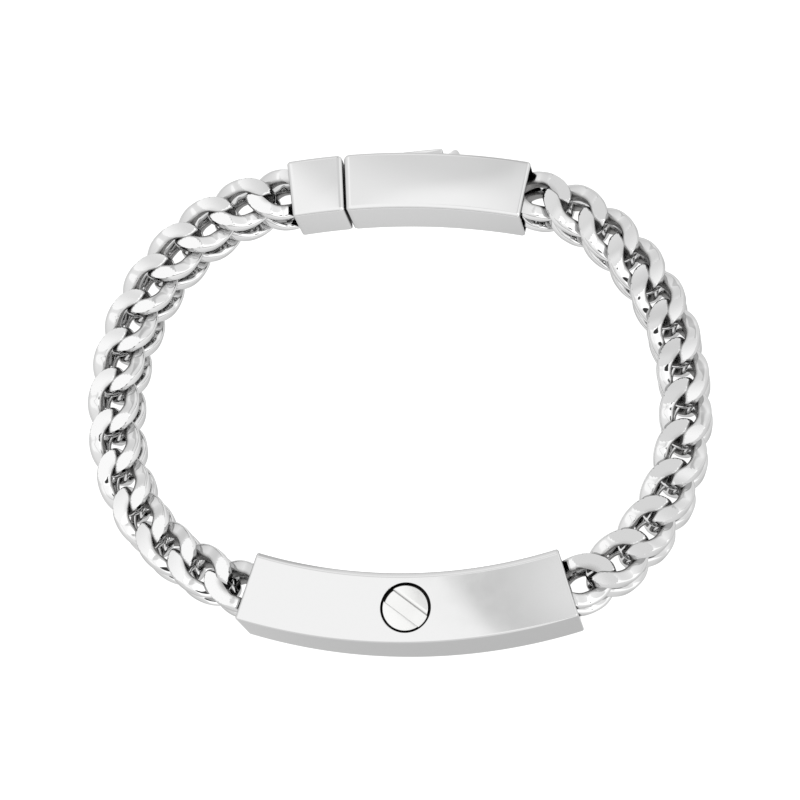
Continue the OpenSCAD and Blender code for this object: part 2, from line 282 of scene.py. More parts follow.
def bent_bar(form, span, box, corners, shares, edges, ends, stations):
    """A bar along an arc: outlines carried from the closed end at span[0] to that at span[1].

    edges holds the two ends' edges, ends their (inner outline, reach), and stations the angles
    between them. Returns the grid of points and the rows where the stations start and stop.
    """
    first = end_loops(box, corners, shares, edges[0], *ends[0])[::-1]
    last = end_loops(box, corners, shares, edges[1], *ends[1])
    side = outline(box, corners, shares)
    rows = [bend(loop, form, span[0] - past * form.per_mm) for past, loop in first]
    rows += [bend(side, form, angle) for angle in stations]
    rows += [bend(loop, form, span[1] + past * form.per_mm) for past, loop in last]
    return np.array(rows), len(first), len(first) + len(stations)


def post_place(form, sign):
    """The middle of the post in the socket at one end of a bent bar."""
    return bend(np.zeros(2), form, sign * (form.half - SOCKET.inset * form.per_mm))


def post_sheet(form, sign):
    """A socket's upright post: a circle at the post's place, carried from floor to roof."""
    turn = np.linspace(0, 2 * np.pi, POST_SIDES, endpoint=False)
    ring = np.stack([np.cos(turn), np.sin(turn), 0 * turn], -1)
    low, high = form.wall, form.height - form.wall
    heights = np.array([low, low, high, high])[:, None, None] * np.array([0, 0, 1.0])
    radii = np.array([0, SOCKET.post, SOCKET.post, 0])[:, None, None]
    return post_place(form, sign) + radii * ring + heights, grid_quads(len(radii), POST_SIDES)


def bar_place(points, form):
    """Points as (angle from the arc's middle, depth, height) of a bent bar."""
    x, y = np.moveaxis(points[..., :2] - np.array(form.centre), -1, 0)
    turn = np.degrees(np.arctan2(y, x)) - form.middle
    return (turn + 180) % 360 - 180, np.hypot(x, y) - form.radius, points[..., 2]


def hollow_painted_shade(points, form):
    """Painted shade inside the two ends, where shade falls in the hollows: it grows over the first
    stretch of a socket or a slot.
    """
    angle, depth, height = bar_place(points, form)
    within = (form.half - np.abs(angle)) / form.per_mm
    wall = form.wall - TOUCH
    inside = np.abs(depth) < form.depth / 2 - wall
    inside &= np.abs(height - form.height / 2) < form.height / 2 - wall
    return np.where(inside & (within < DEEPEST), painted_shade_share("hollow", within), 0.0)


def socket_box(form):
    """The rectangle of the hollow that takes an end link."""
    half = form.depth / 2 - form.wall
    return (-half, half, form.wall, form.height - form.wall)


# The bar and its screw

BAR_TOP_COLUMNS = 26
BAR_STATIONS = 140
# The top's even columns keep this share of its width clear of both edges
TOP_MARGIN = 0.015
# How far the bore's patch reaches past the bore, in mm
PATCH_MARGIN = 0.9
# The patch's rings: shares of the way to the bore, degrees round its rim, shares of its depth
PATCH_RINGS = (0.3, 0.6, 0.85, 0.97, 1)
RIM_RINGS = np.linspace(15, 90, 6)
BORE_RINGS = (0.1, 0.2, 0.5, 1.0)
# Rows of the screw's head across its slot, the worn edge, the face and the rim, and its columns
SLOT_ROWS = 9
WORN_ROWS = 7
FACE_ROWS = 18
RIM_ROWS = 9
HEAD_COLUMNS = 61
# The face's rows that the worn edge's rows stand in for
WORN_OVER = 3
# In mm: half the reach of the slot's leaning walls, how far the head sits under the bar's face,
# and its skirt's rows below the rim
SLOT_WALL = 0.03
HEAD_SINK = 0.02
SKIRT_ROWS = (0.0, 0.15, 0.4)
# How deep the slot's edges are worn, as a share of the wear's width
WEAR_DEPTH = 0.6


def crowned(points, form, span, crown):
    """Raises a bar's top face by the buffing's crown: a parabola across it and along its span."""
    angle, depth, height = bar_place(points, form)
    across = depth / (form.depth / 2)
    along = (angle - (span[0] + span[1]) / 2) / ((span[1] - span[0]) / 2)
    share = np.clip(2 * height / form.height - 1, 0, 1)
    rise = crown * np.clip(1 - across ** 2, 0, 1) * np.clip(1 - along ** 2, 0, 1)
    raised = points.copy()
    raised[..., 2] += share * rise
    return raised


def bar_sheets(form):
    """The curved bar: a bent bar whose top leaves out a patch, which a sheet with the screw's
    counterbore fills. That sheet is ruled from the patch's border to the bore's rim."""
    box = (-BAR.depth / 2, BAR.depth / 2, 0.0, BAR.height)
    edge, bevel, drop = form.bar_edge / MM, form.bevel_width / MM, form.bevel_drop / MM
    corners = ((edge, edge), (edge, edge), (bevel, drop), (edge, edge))
    end_edge = form.end_edge / MM
    top = np.linspace(TOP_MARGIN, 1 - TOP_MARGIN, BAR_TOP_COLUMNS)
    top = np.concatenate([[HOLD / 4], top, [1 - HOLD / 4]])
    shares = [PLAIN_SIDE, top, PLAIN_SIDE, PLAIN_SIDE]
    end = (socket_box(BAR), -SOCKET.depth)
    inside = BAR.half - (end_edge + HOLD) * BAR.per_mm
    stations = np.linspace(-inside, inside, BAR_STATIONS)
    span = (-BAR.half, BAR.half)
    points, start, _ = bent_bar(
        BAR, span, box, corners, shares, [[end_edge] * 4] * 2, (end, end), stations
    )
    rows, columns = points.shape[:2]
    # the top's columns between its two corners, and the rows beside the bore
    left = 2 * CORNER_STEPS + len(PLAIN_SIDE) + 1
    right = left + BAR_TOP_COLUMNS - 1
    bore = SCREW.radius + SCREW.ring
    near = np.flatnonzero(np.abs(stations) <= (bore + PATCH_MARGIN) * BAR.per_mm) + start
    low, high = near[0], near[-1]
    quads = grid_quads(rows, columns).reshape(rows - 1, columns, 4)
    keep = np.ones((rows - 1, columns), bool)
    keep[low:high, left:right] = False
    border = np.concatenate([
        points[low, left:right], points[low:high, right],
        points[high, right:left:-1], points[high:low:-1, left],
    ])
    middle = bend(np.array([0.0, BAR.height]), BAR, 0.0)
    ray = unit(border - middle)
    rim = form.bore_edge / MM
    rings = [border]
    rings += [border + (middle + ray * (bore + rim) - border) * share for share in PATCH_RINGS]
    for t in np.radians(RIM_RINGS):
        fall = np.array([0, 0, rim * (1 - math.cos(t))])
        rings.append(middle + ray * (bore + rim * (1 - math.sin(t))) - fall)
    floor = np.array([0, 0, SCREW.head])
    rings += [middle + ray * bore - floor * share for share in BORE_RINGS]
    rings.append(middle + 0 * ray - floor)
    patch = np.array(rings)
    crown = form.crown / MM
    sheets = [
        (crowned(points, BAR, span, crown), quads[keep]),
        (crowned(patch, BAR, span, crown), grid_quads(len(rings), len(border))),
    ]
    return sheets + [post_sheet(BAR, sign) for sign in (-1, 1)]


def from_screw(points):
    """How far points lie from the counterbore's axis."""
    middle = bend(np.zeros(2), BAR, 0.0)
    return np.hypot(points[:, 0] - middle[0], points[:, 1] - middle[1])


def bar_painted_shade(points):
    """Painted shade in the bar's sockets, and in the screw's counterbore under its rim, where shade
    falls.
    """
    bore = from_screw(points) < SCREW.radius + SCREW.ring + TOUCH
    bore &= points[:, 2] > BAR.height / 2
    sunk = np.where(bore, painted_shade_share("bore", BAR.height - points[:, 2]), 0.0)
    return np.maximum(sunk, hollow_painted_shade(points, BAR))


def screw_painted_shade(points):
    """Painted shade on the screw's rim wall and shank, in the counterbore's gap, which grows
    downwards from the head.
    """
    out, down = from_screw(points) - SCREW.radius, BAR.height - points[:, 2]
    return painted_shade_share("rim", out) * painted_shade_share("head", down)


def screw_sheets(form):
    """The slotted screw: a disc of rows parallel to the slot, as a height over each point.

    The height is the head's top, less a quarter circle round its rim, and less the slot's
    depth between its two walls. Rings then carry the rim down to the seat and the shank.
    """
    radius, rim = SCREW.radius, form.screw_edge / MM
    half, wall = SCREW.slot / 2, SLOT_WALL
    positive = np.concatenate([
        np.linspace(0, half - wall, SLOT_ROWS), [half],
        half + wall + form.slot_edge / MM * np.linspace(0, 1, WORN_ROWS),
        np.linspace(half + wall, radius - rim, FACE_ROWS)[WORN_OVER:],
        radius - rim + rim * np.sin(np.linspace(0, np.pi / 2, RIM_ROWS)[1:]),
    ])
    rows = np.concatenate([-positive[:0:-1], positive])
    across = np.sin(np.linspace(-np.pi / 2, np.pi / 2, HEAD_COLUMNS))
    y = np.broadcast_to(rows[:, None], (len(rows), len(across)))
    x = np.sqrt(np.clip(radius ** 2 - y ** 2, 0, None)) * across
    out = np.clip(np.hypot(x, y) - (radius - rim), 0, rim)
    head = np.sqrt(np.clip(rim ** 2 - out ** 2, 0, None)) - rim
    dished = form.screw_dish / MM * (np.hypot(x, y) / radius) ** 2
    cut = np.clip((half + wall - np.abs(y)) / (2 * wall), 0, 1) * SCREW.slot_depth
    burr = form.slot_edge / MM * np.where(y > 0, SCREW.worn_side, 1.0)
    worn = np.clip((half + wall + burr - np.abs(y)) / burr, 0, 1)
    worn = burr * WEAR_DEPTH * (1 - np.sqrt(1 - worn ** 2))
    z = BAR.height + form.crown / MM - HEAD_SINK + head - dished - worn
    z = np.where(cut > 0, np.minimum(z, BAR.height - cut), z)
    turn = math.radians(SCREW.turn)
    place = bend(np.zeros(2), BAR, 0.0) + np.array([*SCREW.play, 0.0])

    def turned(px, py, pz):
        return place + np.stack([
            px * math.cos(turn) - py * math.sin(turn),
            px * math.sin(turn) + py * math.cos(turn), pz,
        ], -1)

    ring_x, ring_y, ring_z = (np.concatenate([v[:, -1], v[::-1, 0]]) for v in (x, y, z))
    seat = BAR.height - SCREW.head + SCREW.seat
    inner = SCREW.shank / radius
    foot = seat - SCREW.shank_length
    skirt = [turned(ring_x, ring_y, ring_z - below) for below in SKIRT_ROWS]
    skirt += [
        turned(ring_x * share, ring_y * share, 0 * ring_z + level)
        for share, level in ((1, seat), (inner, seat), (inner, foot), (0, foot))
    ]
    return [
        (turned(x, y, z), grid_quads(len(rows), len(across), wrap=False)),
        (np.array(skirt), grid_quads(len(skirt), len(ring_x))),
    ]


# The clasp

BODY_START = -CLASP.half
BODY_END = BODY_START + CLASP.body * CLASP.per_mm
BLOCK_START = CLASP.half - CLASP.block * CLASP.per_mm
LEVER_RADIUS = CLASP.radius + CLASP.depth / 2
LEVER_PER_MM = math.degrees(1.0 / LEVER_RADIUS)
LEVER_LOW = (CLASP.height - LEVER.height) / 2
CLASP_BOX = (-CLASP.depth / 2, CLASP.depth / 2, 0.0, CLASP.height)
# The outer top edge's width, as a share of the other edges'
OUTER_EDGE = 1.2
# Room round the tongue in its slot, in mm
TONGUE_ROOM = 0.1
BLOCK_STATIONS = 24
# The body's grid: half the reach of the relief's walls in mm, its level lines from and to in mm
# and their count, how far its outermost lines keep from the edges, the decimals of a mm past
# which two stations are one, and how many lie on the stop, round the knuckle and along the whole
RELIEF_WALL = 0.015
LEVEL_LINES = (2.2, 6.0, 6)
FACE_HOLD = 4 * HOLD
STATION_DECIMALS = 3
STOP_STATIONS = 19
BED_STATIONS = 17
BODY_STATIONS = 72
# Stations keep this far from the ends' edges, in mm and in degrees
END_MARGIN = 0.05
END_MARGIN_ANGLE = 0.02
# Points of the lever's plan along its faces, round its knuckle and round its tip
FACE_POINTS = 60
KNUCKLE_POINTS = 48
TIP_POINTS = 8
LEVER_EDGE_STEPS = 6
# Points of the outer face keep this far from the tip's rounding, in mm
TIP_CLEARANCE = 0.02
# Degrees from the knuckle's outward side at which the walk round it starts and ends
KNUCKLE_WALK = (92, 360)


def tongue_box(gap):
    """The tongue's rectangle, or with a gap the room for it."""
    half = CLASP.tongue_depth / 2 + gap
    low = (CLASP.height - CLASP.tongue_height) / 2 - gap
    return (-half, half, low, CLASP.height - low)


def clasp_corners(form):
    """The clasp's edges: a flatter roll along the top's inner edge, and small ones elsewhere."""
    edge = form.clasp_edge / MM
    return ((edge, edge), (edge * OUTER_EDGE, edge), (form.roll_width / MM, edge), (edge, edge))


def end_edges(form, at_gap):
    """How far an end draws in each side: the outer side has a wider round corner."""
    edge = form.clasp_edge / MM
    return (edge, (form.gap_corner if at_gap else form.end_corner) / MM, edge, edge)


def clasp_painted_shade(points):
    """Painted shade in the clasp's sockets and in the narrow gap between its two pieces, where
    shade falls.
    """
    angle, _, height = bar_place(points, CLASP)
    hollow = hollow_painted_shade(points, CLASP)
    gap = np.abs(angle - (BODY_END + BLOCK_START) / 2) / CLASP.per_mm
    closed = painted_shade_share("gap", CLASP.gap / 2 - gap) * painted_shade_share("floor", CLASP.height - height)
    return np.maximum(hollow, GAP_SHARE * closed)


def block_sheets(form):
    """The clasp's small block: a bent bar with a tongue at one end and a socket at the other."""
    edges = end_edges(form, True), end_edges(form, False)
    inset = (max(edges[0] + edges[1]) + HOLD) * CLASP.per_mm
    stations = np.linspace(BLOCK_START + inset, CLASP.half - inset, BLOCK_STATIONS)
    ends = (
        (tongue_box(0.0), CLASP.tongue + CLASP.gap),
        (socket_box(CLASP), -SOCKET.depth),
    )
    span = (BLOCK_START, CLASP.half)
    points, _, _ = bent_bar(
        CLASP, span, CLASP_BOX, clasp_corners(form), [PLAIN_SIDE] * 4, edges, ends, stations
    )
    points = crowned(points, CLASP, span, form.crown / MM)
    return [(points, grid_quads(*points.shape[:2])), post_sheet(CLASP, 1)]


def stop_height(share):
    """The stop's height over the face: a leaning half sine whose ends sink under the face."""
    lift = LEVER.stop_rise + LEVER.sink
    return lift * np.sin(np.pi * np.clip(share, 0, 1) ** LEVER.lean) - LEVER.sink


def body_relief(along, level):
    """How far the body's outer face stands out at a place along it and a level up it.

    The lever's recess goes down by the plate's thickness and its room, and by a half circle
    round the knuckle. The stop stands up past the lever's tip.
    """
    pin, tip = LEVER.inset, LEVER.inset + LEVER.length
    bed = LEVER.knuckle + LEVER.room
    depth = np.full_like(along, LEVER.thickness + LEVER.room)
    round_bed = LEVER.knuckle + np.sqrt(np.clip(bed ** 2 - (along - pin) ** 2, 0, None))
    depth = np.where(np.abs(along - pin) < bed, np.maximum(depth, round_bed), depth)
    in_recess = (along > pin - bed - LEVER.room) & (along < tip + LEVER.room)
    side = np.abs(level - CLASP.height / 2)
    in_recess &= side < LEVER.height / 2 + LEVER.side_gap
    near = tip + LEVER.room + LEVER.sink
    share = (along - near) / LEVER.stop
    in_stop = (share > 0) & (share < 1) & (side < LEVER.height / 2)
    relief = np.where(in_recess, -depth, 0.0)
    return np.where(in_stop, np.maximum(stop_height(share), 0.0), relief)


def body_sheets(form):
    """The clasp's long body: a bent bar whose outer face takes the relief of the lever's
    recess and stop, on a grid with two close lines at each wall of the relief."""
    edge = form.clasp_edge / MM
    edges = end_edges(form, False), end_edges(form, True)
    far = max(edges[1])
    pair = np.array([-RELIEF_WALL, RELIEF_WALL])
    high = CLASP.height - edge
    tall = LEVER.height / 2
    walls = [CLASP.height / 2 + s * (tall + g) for s in (-1, 1) for g in (0, LEVER.side_gap)]
    lines = np.concatenate([
        [edge + FACE_HOLD, high - FACE_HOLD], *(w + pair for w in walls), np.linspace(*LEVEL_LINES),
    ])
    face = np.sort((lines - edge) / (high - edge))
    shares = [face, PLAIN_SIDE, PLAIN_SIDE, PLAIN_SIDE]
    pin, tip = LEVER.inset, LEVER.inset + LEVER.length
    bed = LEVER.knuckle + LEVER.room
    near = tip + LEVER.room + LEVER.sink
    places = np.concatenate([
        pin - bed - LEVER.room + pair, tip + LEVER.room + pair,
        np.linspace(near, near + LEVER.stop, STOP_STATIONS),
        pin + bed * np.cos(np.linspace(0, np.pi, BED_STATIONS)),
        np.linspace(far + END_MARGIN, CLASP.body - far - END_MARGIN, BODY_STATIONS),
    ])
    places = np.unique(np.round(places, STATION_DECIMALS))
    stations = np.sort(BODY_END - places * LEVER_PER_MM)
    low_end = BODY_START + (max(edges[0]) + HOLD) * CLASP.per_mm
    high_end = BODY_END - (far + HOLD) * CLASP.per_mm
    inside = (stations > low_end + END_MARGIN_ANGLE) & (stations < high_end - END_MARGIN_ANGLE)
    stations = np.concatenate([[low_end], stations[inside], [high_end]])
    ends = (
        (socket_box(CLASP), -SOCKET.depth),
        (tongue_box(TONGUE_ROOM), -CLASP.tongue - TONGUE_ROOM),
    )
    span = (BODY_START, BODY_END)
    points, start, stop = bent_bar(
        CLASP, span, CLASP_BOX, clasp_corners(form), shares, edges, ends, stations
    )
    first, last = CORNER_STEPS, CORNER_STEPS + len(face)
    panel = points[start:stop, first:last]
    centre = np.array(CLASP.centre)
    away = panel[..., :2] - centre
    reach = np.linalg.norm(away, axis=-1)
    place = (BODY_END - stations)[:, None] / LEVER_PER_MM * np.ones(last - first)
    relief = body_relief(place, panel[..., 2])
    panel[..., :2] = centre + away * ((reach + relief) / reach)[..., None]
    points = crowned(points, CLASP, span, form.crown / MM)
    return [(points, grid_quads(*points.shape[:2])), post_sheet(CLASP, -1)]


def lever_sheets(form):
    """The flip lever: its plan outline carried up, drawn in at both ends by a quarter circle.

    The outline runs along the plate's underside to the knuckle, round the knuckle, and back
    along the outer face, which rises to the lifted tip.
    """
    pin = BODY_END - LEVER.inset * LEVER_PER_MM
    tip = pin - LEVER.length * LEVER_PER_MM
    centre = np.array(CLASP.centre)

    def on_face(angles, out):
        turn = np.radians(CLASP.middle + angles)
        reach = LEVER_RADIUS + out
        return centre + np.stack([reach * np.cos(turn), reach * np.sin(turn)], -1)

    knuckle = on_face(np.array(pin), -LEVER.knuckle)
    outward = math.degrees(math.atan2(*(knuckle - centre)[::-1]))
    knuckle_end = LEVER.knuckle_reach * LEVER_PER_MM
    share = np.linspace(0, 1, FACE_POINTS)
    under = on_face(tip + (pin - knuckle_end - tip) * share, -LEVER.thickness)
    # the circle is walked from its far side, round the back, to the outer face
    turn = np.radians(outward - np.linspace(*KNUCKLE_WALK, KNUCKLE_POINTS))
    round_knuckle = knuckle + LEVER.knuckle * np.stack([np.cos(turn), np.sin(turn)], -1)
    outer = on_face(pin + (tip - pin) * share, LEVER.rise * share ** LEVER.rise_power)
    soft = LEVER.tip_radius
    corner = np.radians(np.linspace(90, 0, TIP_POINTS))
    tip_out = on_face(np.array(tip), LEVER.rise)
    tip_in = on_face(np.array(tip), -LEVER.thickness)
    along, up = unit(outer[-1] - outer[-2]), unit(tip_out - tip_in)
    heart = tip_out - along * soft - up * soft
    round_tip = heart + soft * (np.cos(corner)[:, None] * along + np.sin(corner)[:, None] * up)
    keep = np.linalg.norm(outer - tip_out, axis=1) > soft + TIP_CLEARANCE
    # the underside's first two points are left out, next to the tip's inner corner
    plan = np.concatenate([under[2:], round_knuckle[1:-1], outer[keep], round_tip, tip_in[None]])
    step = np.roll(plan, -1, 0) - np.roll(plan, 1, 0)
    inward = unit(np.stack([-step[:, 1], step[:, 0]], -1))
    area = np.sum(plan[:, 0] * np.roll(plan[:, 1], -1) - plan[:, 1] * np.roll(plan[:, 0], -1))
    inward *= np.sign(area)
    edge = form.lever_edge / MM
    quarter = np.radians(np.linspace(90, 0, LEVER_EDGE_STEPS))
    levels = [(edge * (1 - math.sin(t)), edge * (1 - math.cos(t))) for t in quarter]
    levels += [(LEVER.height - up_by, in_by) for up_by, in_by in levels[::-1]]
    middle = np.broadcast_to(plan.mean(0), plan.shape)
    rows = [(middle, 0.0)] + [(plan + inward * in_by, level) for level, in_by in levels]
    rows.append((middle, LEVER.height))
    points = np.array([np.c_[row, np.full(len(plan), LEVER_LOW + level)] for row, level in rows])
    return [(points, grid_quads(*points.shape[:2]))]


# The chain

LOOP_SEGMENTS = 128
WIRE_SIDES = 40
# A step of the wire's section that rises by less than this, in mm, never meets a level plane
LEVEL_STEP = 1e-9
NEVER = 1e9
# Points this near a ground face, in mm, lie on it
GROUND_SLACK = 0.001


def smooth_path(points):
    """A Catmull-Rom curve through the points, with even steps between each two."""
    p = np.asarray(points, float)
    p = np.vstack([2 * p[0] - p[1], p, 2 * p[-1] - p[-2]])
    t = (np.arange(PATH_STEPS) / PATH_STEPS)[None, :, None]
    a, b, c, d = (p[k:len(p) - 3 + k, None] for k in range(4))
    curve = 0.5 * (
        2 * b + (c - a) * t + (2 * a - 5 * b + 4 * c - d) * t ** 2
        + (3 * b - a - 3 * c + d) * t ** 3
    )
    return np.vstack([curve.reshape(-1, 2), p[-2]])


def chain_way(side):
    """The side's path between its two posts, and the running length along it."""
    sign = 1 if side == "left" else -1
    ends = post_place(CLASP, sign)[:2], post_place(BAR, -sign)[:2]
    path = smooth_path([ends[0]] + ROUTES[side] + [ends[1]])
    length = np.r_[0, np.cumsum(np.linalg.norm(np.diff(path, axis=0), axis=1))]
    return path, length


def way_points(side, s):
    """Points of the chain's middle line: it sinks from its sockets to lie on the table."""
    path, length = chain_way(side)
    z = CHAIN.height / 2 + CHAIN.rest
    z = z + (CLASP.height - CHAIN.height) / 2 * (1 - ease(s / CHAIN.settle))
    z = z + (BAR.height - CHAIN.height) / 2 * (1 - ease((length[-1] - s) / CHAIN.settle))
    return np.stack([np.interp(s, length, path[:, 0]), np.interp(s, length, path[:, 1]), z], -1)


def link_frames(side):
    """Each link's middle and its three axes: along the way, across it and up."""
    _, length = chain_way(side)
    wire = CHAIN.wire
    reach = (CHAIN.length - wire) / 2 - wire / 2 - SOCKET.post - SOCKET.slack
    s = reach + np.arange(COUNTS[side]) * (length[-1] - 2 * reach) / (COUNTS[side] - 1)
    back, front = way_points(side, s - reach), way_points(side, s + reach)
    along = unit(front - back)
    across = unit(np.cross([0, 0, 1.0], along))
    return (back + front) / 2, along, across, np.cross(along, across)


def meet_plane(points, height):
    """Moves the points next to a level plane onto it, along the section's own steps.

    Where a step crosses the plane, its nearer end slides to the crossing.
    """
    for side in (1, -1):
        beside = np.roll(points, side, 1)
        rise = beside[..., 2] - points[..., 2]
        share = (height - points[..., 2]) / np.where(np.abs(rise) < LEVEL_STEP, NEVER, rise)
        near = ((share > 0) & (share <= 0.5))[..., None]
        points = np.where(near, points + share[..., None] * (beside - points), points)
    return points


def wire_loop(form, deck, half_height):
    """One loop of wire: an ellipse twisted about its long axis, with an oval section.

    The twist grows as a power of the distance from the loop's middle, with its sign, so the
    two ends turn opposite ways. Whatever stands past the chain's ground faces is cut to them:
    they are parabolas along the link, level at its middle. Taking off the parabola's fall for the
    cut makes each a level plane.
    """
    u = np.linspace(0, 2 * np.pi, LOOP_SEGMENTS, endpoint=False)
    width, thickness = form.wire_width / MM, form.wire_thickness / MM
    half_length = (CHAIN.length - width) / 2
    half_width = (CHAIN.width - width) / 2
    x = half_length * np.cos(u)
    share = x / half_length
    turn = np.radians(CHAIN.twist) * np.sign(share) * np.abs(share) ** CHAIN.power
    turn = turn + form.link_roll
    y = half_width * np.sin(u)
    line = np.stack([x, y * np.cos(turn), y * np.sin(turn)], -1)
    along = unit(np.roll(line, -1, 0) - np.roll(line, 1, 0))
    normal = np.stack([0 * turn, -np.sin(turn), np.cos(turn)], -1)
    normal = unit(normal - np.sum(normal * along, 1)[:, None] * along)
    side = np.cross(along, normal)
    v = np.linspace(0, 2 * np.pi, WIRE_SIDES, endpoint=False)
    power = 2 / form.wire_square
    across = width / 2 * np.sign(np.cos(v)) * np.abs(np.cos(v)) ** power
    over = thickness / 2 * np.sign(np.sin(v)) * np.abs(np.sin(v)) ** power
    points = line[:, None] + across[:, None] * side[:, None] + over[:, None] * normal[:, None]
    points[..., 2] += deck * CHAIN.deck / 2
    for sign in (1, -1):
        points[..., 2] += sign * form.link_crown * points[..., 0] ** 2
        points = meet_plane(points, sign * half_height)
        points[..., 2] = sign * np.minimum(sign * points[..., 2], half_height)
        points[..., 2] -= sign * form.link_crown * points[..., 0] ** 2
    return points


def make_link(form, material, side, index):
    """One link: its upper and its lower loop, placed on the chain's way.

    Painted shade, darker steel where the links shade each other, lies on the wire's inner side,
    where a point's place in the loop's own ellipse, with the twist undone, is below 1.
    """
    middle, along, across, up = (part[index] for part in link_frames(side))
    at_socket = index in (0, COUNTS[side] - 1)
    half_height = (CHAIN.end_height if at_socket else CHAIN.height) / 2
    axes = np.array([along, across, up])
    quads = grid_quads(LOOP_SEGMENTS + 1, WIRE_SIDES) % (LOOP_SEGMENTS * WIRE_SIDES)
    sheets = [(middle + wire_loop(form, deck, half_height) @ axes, quads) for deck in (1, -1)]
    half_length = (CHAIN.length - form.wire_width / MM) / 2
    half_width = (CHAIN.width - form.wire_width / MM) / 2

    def ground(points):
        sag = form.link_crown * ((points - middle) @ along) ** 2
        return np.abs(np.abs((points - middle) @ up) + sag - half_height) < GROUND_SLACK

    # painted shade on the wire's inner side, where the links shade each other
    def painted_shade(points):
        x, y, z = ((points - middle) @ axes.T).T
        deck = np.abs(z) - CHAIN.deck / 2
        place = np.hypot(x / half_length, np.hypot(y, deck) / half_width)
        return form.painted_shade_share * painted_shade_share("wire", -place)

    node = f"link_{side}_{index + 1:02d}"
    make_piece(f"tumbled_{node}", sheets, material, "bracelet", [node], painted_shade, ground)


# Materials

# Each finish: its painted shade colour, the darker steel put where shade falls, and its roughness,
# and in mm its fine marks' size and depth and the depth of its waves. Real marks are some
# hundredths of a mm wide, which is too fine to show, so these are drawn coarser.
STEELS = {
    # wheel-buffed 316 steel: near mirror, with the wheel's slow waves and a faint haze
    "buffed": ("buffed_stainless_steel", "#2B2A29", 0.05, 0.3, 0.00003, 0.002),
    # barrel-tumbled chain wire: a clear mirror with crisp dark lines in its bends
    "tumbled": ("tumbled_stainless_steel", "#6E6D6C", 0.05, 0.25, 0.00003, 0.003),
    # lathe-faced screw head: small tool marks that break up its reflections
    "faced": ("lathe_faced_stainless_steel", "#2B2A29", 0.12, 0.15, 0.0006, 0.004),
}
# Noises of the haze and of the wheel's waves: size in mm, detail and roughness, and the fine
# marks' detail and roughness
HAZE = (2.5, 3.0, 0.5)
MARKS = (4.0, 0.6)
WAVES = (6.0, 1.0, 0.5)
# The part of a noise's range that the haze uses, and the shares of the roughness at its ends
NOISE_RANGE = (0.3, 0.7)
HAZE_SPREAD = (0.7, 1.3)
# Roughness that full painted shade adds
PAINTED_SHADE_HAZE = 0.45
# Steel gains less at a glancing angle than the shader's ideal mirror
GLANCING_TINT = 0.62


def linear(hex_colour):
    """An sRGB hex colour as linear red, green, blue and alpha."""
    values = [int(hex_colour.lstrip("#")[k:k + 2], 16) / 255 for k in (0, 2, 4)]
    return tuple(
        v / 12.92 if v <= 0.04045 else ((v + 0.055) / 1.055) ** 2.4 for v in values
    ) + (1.0,)


def add_node(tree, kind, inputs=None, **settings):
    """Adds a node with its settings, and fills its inputs with values or with outputs."""
    node = tree.nodes.new("ShaderNode" + kind)
    for key, value in settings.items():
        setattr(node, key, value)
    for key, value in (inputs or {}).items():
        if isinstance(value, bpy.types.NodeSocket):
            tree.links.new(value, node.inputs[key])
        else:
            node.inputs[key].default_value = value
    return node


def steel_material(name, colour, painted_shade_colour, roughness, mark_mm, mark_depth_mm, wave_depth_mm):
    """Polished stainless steel: a bright metal that strays with noises of real sizes.

    Fine marks of mark_mm and the wheel's broad waves bend the reflections, a slower noise varies
    the haze, and a point attribute of painted shade darkens the colour where shade falls in
    hollows, gaps and the wire's inner sides, and makes it rougher there.
    """
    material = bpy.data.materials.new(name)
    material.use_nodes = True
    tree = material.node_tree
    place = add_node(tree, "TexCoord").outputs["Object"]
    painted_shade_amount = add_node(tree, "Attribute", attribute_name="painted_shade").outputs["Fac"]
    fine, haze, waves = (
        add_node(tree, "TexNoise", {
            "Vector": place, "Scale": 1 / (size * MM), "Detail": detail, "Roughness": rough,
        }).outputs["Fac"]
        for size, detail, rough in ((mark_mm, *MARKS), HAZE, WAVES)
    )
    # a mix of colours has them at its inputs 6 and 7, and the result at its output 2
    # painted shade: the colour is mixed towards the dark painted shade colour by the point
    # attribute
    base = add_node(tree, "Mix", {0: painted_shade_amount, 6: colour, 7: linear(painted_shade_colour)}, data_type="RGBA")
    hazed = add_node(tree, "MapRange", {
        "Value": haze, "From Min": NOISE_RANGE[0], "From Max": NOISE_RANGE[1],
        "To Min": roughness * HAZE_SPREAD[0], "To Max": roughness * HAZE_SPREAD[1],
    })
    dulling = {0: painted_shade_amount, 1: PAINTED_SHADE_HAZE, 2: hazed.outputs["Result"]}
    duller = add_node(tree, "Math", dulling, operation="MULTIPLY_ADD")
    broad = add_node(tree, "Bump", {"Height": waves, "Distance": wave_depth_mm * MM})
    bump = add_node(tree, "Bump", {
        "Height": fine, "Distance": mark_depth_mm * MM, "Normal": broad.outputs["Normal"],
    })
    shader = tree.nodes["Principled BSDF"]
    shader.inputs["Metallic"].default_value = 1.0
    shader.inputs["Specular Tint"].default_value = (GLANCING_TINT,) * 3 + (1,)
    tree.links.new(base.outputs[2], shader.inputs["Base Color"])
    tree.links.new(duller.outputs[0], shader.inputs["Roughness"])
    tree.links.new(bump.outputs["Normal"], shader.inputs["Normal"])
    return material


def get_material(finish, steel):
    """The steel of one finish, made once."""
    name, *values = STEELS[finish]
    if name in bpy.data.materials:
        return bpy.data.materials[name]
    return steel_material(name, (*getattr(steel, finish), 1), *values)


# Studio

# Sky brightness against the sine of the height above the horizon
SKY = (
    (0.0, 1.0), (0.06, 1.05), (0.25, 1.15), (0.6, 1.3), (0.82, 1.42), (0.885, 1.72), (1.0, 1.72),
)
# Smooth steps over slopes, which are X/Z and Y/Z of a direction. Each is the slopes' shares in
# the stepped value, what is added to it, where the step starts and ends, and its two levels.
BRIGHT_SIDE = (1, 0, 0, 0.2, 0.5, 1.0, 1.55)
